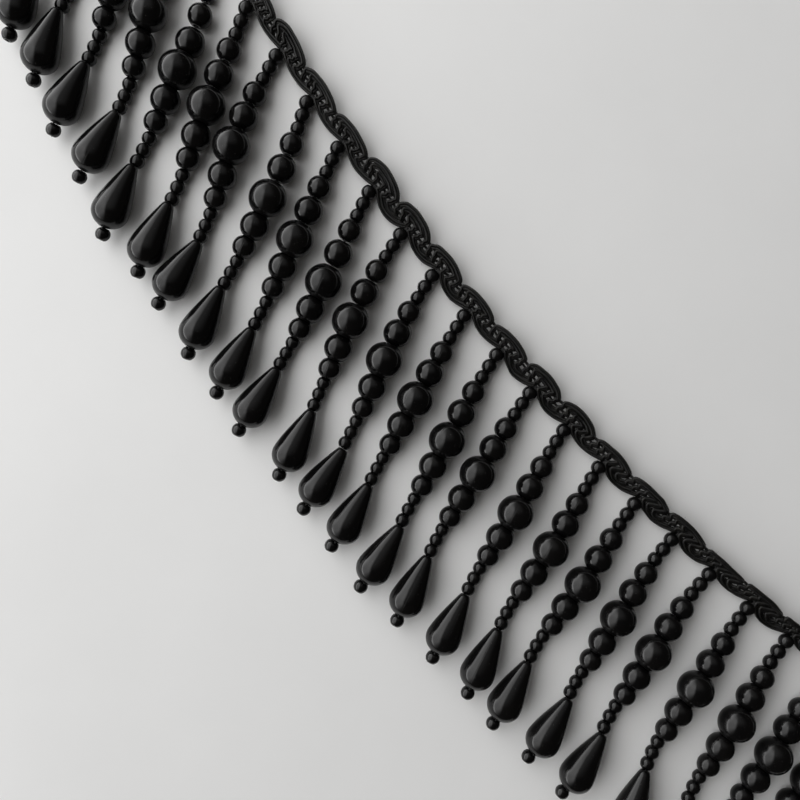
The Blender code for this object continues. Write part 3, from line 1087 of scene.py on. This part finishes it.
def panel_glow(nodes):
    """Strength of the softbox over its face."""
    (x_low, x_high), (y_low, y_high) = PANEL_SPAN
    face = nodes.new("ShaderNodeNewGeometry").outputs["Parametric"]
    split = nodes.new("ShaderNodeSeparateXYZ", {"Vector": face})
    x = nodes.math("MULTIPLY_ADD", split.outputs["X"], x_high - x_low, x_low)
    y = nodes.math("MULTIPLY_ADD", split.outputs["Y"], y_low - y_high, y_high)
    reach = nodes.math("SQRT", nodes.add(nodes.times(x, x), nodes.times(y, y)))
    turn = nodes.times(nodes.math("ARCTAN2", y, nodes.times(x, -1.0)), 360.0 / TAU)

    left = nodes.fade(nodes.math("MULTIPLY_ADD", y, LEFT_SKEW, x), *LEFT_FADE)
    lower = nodes.fade(turn, *LOWER_FADE)
    upper = nodes.fade(turn, *UPPER_FADE)
    off = nodes.math("DIVIDE", nodes.add(turn, -BEAM_TURN), BEAM_WIDTH)
    beam = nodes.math("POWER", math.e, nodes.times(nodes.times(off, off), -1.0))
    far = nodes.fade(reach, *BEAM_FADE)
    level = nodes.math("MULTIPLY_ADD", far, BEAM_FAR, BEAM_NEAR)
    level = nodes.math("MULTIPLY_ADD", beam, level, 1.0)
    key = nodes.times(nodes.times(level, left), nodes.times(lower, upper))
    fill = nodes.times(nodes.fade(y, *FILL_DOWN_FADE), FILL)
    fill = nodes.times(nodes.fade(x, *FILL_RIGHT_FADE), fill)
    rim = nodes.times(nodes.times(nodes.fade(reach, *RIM_FADE), RIM),
                      nodes.times(nodes.fade(turn, *RIM_LOWER_FADE), upper))
    return nodes.math("MAXIMUM", key, nodes.math("MAXIMUM", fill, rim))


def build_panel():
    """Large soft panel overhead, lit from the view's left to its upper left."""
    right = camera_axes()[0]
    right = Vector((right.x, right.y, 0)).normalized()
    down = Vector((0, 0, 1)).cross(right) * -1
    (x_low, x_high), (y_low, y_high) = PANEL_SPAN
    light = bpy.data.lights.new("softbox", "AREA")
    light.shape = "RECTANGLE"
    light.size = (x_high - x_low) * PANEL_HEIGHT * MM
    light.size_y = (y_high - y_low) * PANEL_HEIGHT * MM
    light.energy = light.size * light.size_y * math.pi * PANEL_STRENGTH
    light.use_nodes = True
    nodes = Nodes(light.node_tree)
    nodes.feed(light.node_tree.nodes["Emission"], {"Strength": panel_glow(nodes)})
    panel = bpy.data.objects.new("softbox", light)
    bpy.context.scene.collection.objects.link(panel)
    panel.visible_camera = False
    middle = (Vector((*CAMERA_AT, PANEL_HEIGHT)) + SHIFT
              + (right * (x_low + x_high) + down * (y_low + y_high)) * PANEL_HEIGHT / 2) * MM
    facing = Matrix((right, -down, Vector((0, 0, 1)))).transposed().to_4x4()
    panel.matrix_world = Matrix.Translation(middle) @ facing


ROOM_COLOUR, ROOM_STRENGTH = (1.0, 0.93, 0.86, 1.0), 0.045
BACKDROP_COLOUR = (0.62, 0.62, 0.61, 1.0)


def build_world():
    """Faint warm light from the room, and a plain pale backdrop past the floor."""
    world = bpy.data.worlds.new("studio")
    bpy.context.scene.world = world
    world.use_nodes = True
    nodes = Nodes(world.node_tree)
    room = world.node_tree.nodes["Background"]
    nodes.feed(room, {"Color": ROOM_COLOUR, "Strength": ROOM_STRENGTH})
    backdrop = nodes.new("ShaderNodeBackground", {"Color": BACKDROP_COLOUR})
    seen = nodes.new("ShaderNodeLightPath").outputs["Is Camera Ray"]
    mix = nodes.new("ShaderNodeMixShader", {0: seen, 1: room.outputs[0], 2: backdrop.outputs[0]})
    nodes.feed(world.node_tree.nodes["World Output"], {"Surface": mix.outputs[0]})


FLOOR_HALF = 3.0  # metres
FLOOR_GAP = 0.00002  # below the beads that rest on it


def build_floor():
    """Wide plain floor under the trim."""
    half = FLOOR_HALF
    mesh = bpy.data.meshes.new("floor")
    mesh.from_pydata([(-half, -half, 0), (half, -half, 0), (half, half, 0), (-half, half, 0)],
                     [], [(0, 1, 2, 3)])
    mesh.materials.append(floor_material())
    floor = bpy.data.objects.new("floor", mesh)
    floor.location.z = -FLOOR_GAP
    bpy.context.scene.collection.objects.link(floor)


def main():
    """Sets the stage, then dresses the braid and every tassel."""
    build_camera()
    build_panel()
    build_world()
    build_floor()
    cord = cord_material()
    thread = thread_material()
    beads = bead_material()
    ends = [build_braid_end(rank, cord) for rank in range(3)]
    for end in ends:
        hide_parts("braid")
    extras = [build_lay_cords(cord), build_stitches(thread), build_fibres(thread)]
    for piece in ends + extras:
        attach(piece, "root")
    for number, lay in enumerate(LAYS):
        build_tassel(number, lay, beads, thread)
    settings = bpy.context.scene.view_settings
    settings.view_transform = "Standard"
    settings.look = "None"


main()
